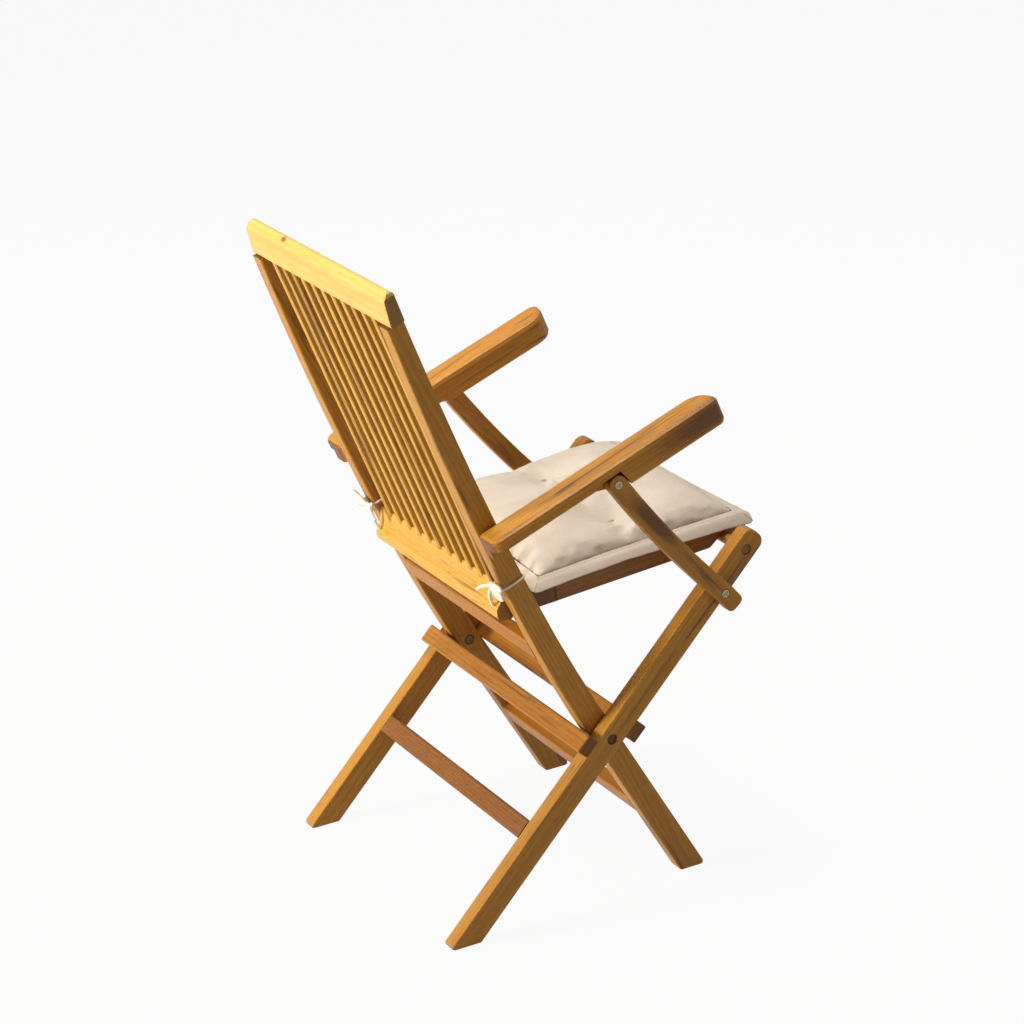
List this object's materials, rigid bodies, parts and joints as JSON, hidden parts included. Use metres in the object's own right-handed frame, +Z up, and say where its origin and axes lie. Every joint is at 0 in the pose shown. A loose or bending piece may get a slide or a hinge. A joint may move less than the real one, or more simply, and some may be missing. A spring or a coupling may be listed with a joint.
{
  "type": "folding armchair",
  "caption": "Folding slatted teak armchair with crossing legs, hinged arms on struts and a flat tufted seat cushion tied to the back.",
  "frame": {"origin": "on the floor, under the middle of the outer box of the open chair", "axes": "+Z up, +Y to the back of the chair, -X to the sitter's right"},
  "size_m": [0.5, 0.5262, 0.8968],
  "materials": {
    "teak_pale": "oiled, bright golden faces",
    "teak": "oiled, golden brown",
    "teak_dark": "oiled, darker brown in the shade of the seat",
    "steel": "satin",
    "cushion_fabric": "woven cotton, natural",
    "tie_string": "flat woven string"
  },
  "bodies": {
    "back_frame": {"stile_right": "teak", "crossing_nut_right": "steel", "tie_right": "tie_string", "stile_left": "teak", "crossing_nut_left": "steel", "tie_left": "tie_string", "top_rail": "teak_pale", "lower_back_rail": "teak_pale", "under_seat_rail": "teak", "front_stretcher": "teak", "back_slat_1": "teak_pale", "back_slat_2": "teak_pale", "back_slat_3": "teak_pale", "back_slat_4": "teak_pale", "back_slat_5": "teak_pale", "back_slat_6": "teak_pale", "back_slat_7": "teak_pale", "back_slat_8": "teak_pale", "back_slat_9": "teak_pale", "back_slat_10": "teak_pale", "back_slat_11": "teak_pale"},
    "leg_frame": {"rear_leg_right": "teak", "crossing_bolt_right": "steel", "crossing_plug_right": "teak_dark", "crossing_washer_right": "steel", "rear_leg_left": "teak", "crossing_bolt_left": "steel", "crossing_plug_left": "teak_dark", "crossing_washer_left": "steel", "rear_bar": "teak", "front_bar": "teak", "rear_stretcher": "teak", "seat_rod": "teak"},
    "seat": {"seat_side_rail_right": "teak_dark", "seat_pin_right": "steel", "seat_side_rail_left": "teak_dark", "seat_pin_left": "steel", "seat_rear_rail": "teak_dark", "seat_front_rail": "teak_dark", "seat_slat_1": "teak", "seat_slat_2": "teak", "seat_slat_3": "teak", "seat_slat_4": "teak", "seat_slat_5": "teak", "seat_slat_6": "teak", "seat_slat_7": "teak", "cushion": "cushion_fabric"},
    "arm_right": {"arm_right": "teak_pale", "arm_pin_right": "steel"},
    "arm_left": {"arm_left": "teak_pale", "arm_pin_left": "steel"},
    "strut_right": {"strut_right": "teak", "strut_arm_bolt_right": "steel", "strut_leg_bolt_right": "steel"},
    "strut_left": {"strut_left": "teak", "strut_arm_bolt_left": "steel", "strut_leg_bolt_left": "steel"}
  },
  "joints": [
    {"name": "fold", "type": "hinge", "parent": "back_frame", "child": "leg_frame", "pos_m": [0, -0.00698, 0.235], "axis": [-1, 0, 0], "range_deg": [0, 61]},
    {"name": "seat_turn", "type": "hinge", "parent": "back_frame", "child": "seat", "pos_m": [0, 0.08207, 0.4363], "axis": [-1, 0, 0], "range_deg": [0, 98.9], "deforming": ["cushion", "tie_right", "tie_left"]},
    {"name": "arm_right_turn", "type": "hinge", "parent": "back_frame", "child": "arm_right", "pos_m": [0, 0.12686, 0.543], "axis": [-1, 0, 0], "range_deg": [0, 76.7]},
    {"name": "strut_right_turn", "type": "hinge", "parent": "arm_right", "child": "strut_right", "pos_m": [0, -0.02639, 0.59246], "axis": [1, 0, 0], "range_deg": [0, 98]},
    {"name": "arm_left_turn", "type": "hinge", "parent": "back_frame", "child": "arm_left", "pos_m": [0, 0.12686, 0.543], "axis": [-1, 0, 0], "range_deg": [0, 76.7]},
    {"name": "strut_left_turn", "type": "hinge", "parent": "arm_left", "child": "strut_left", "pos_m": [0, -0.02639, 0.59246], "axis": [1, 0, 0], "range_deg": [0, 98]}
  ],
  "couplings": [
    {"joint": "seat_turn", "follows": "fold", "ratio": 1.62},
    {"joint": "arm_right_turn", "follows": "fold", "ratio": 1.255},
    {"joint": "strut_right_turn", "follows": "fold", "ratio": 1.605},
    {"joint": "arm_left_turn", "follows": "fold", "ratio": 1.255},
    {"joint": "strut_left_turn", "follows": "fold", "ratio": 1.605}
  ]
}
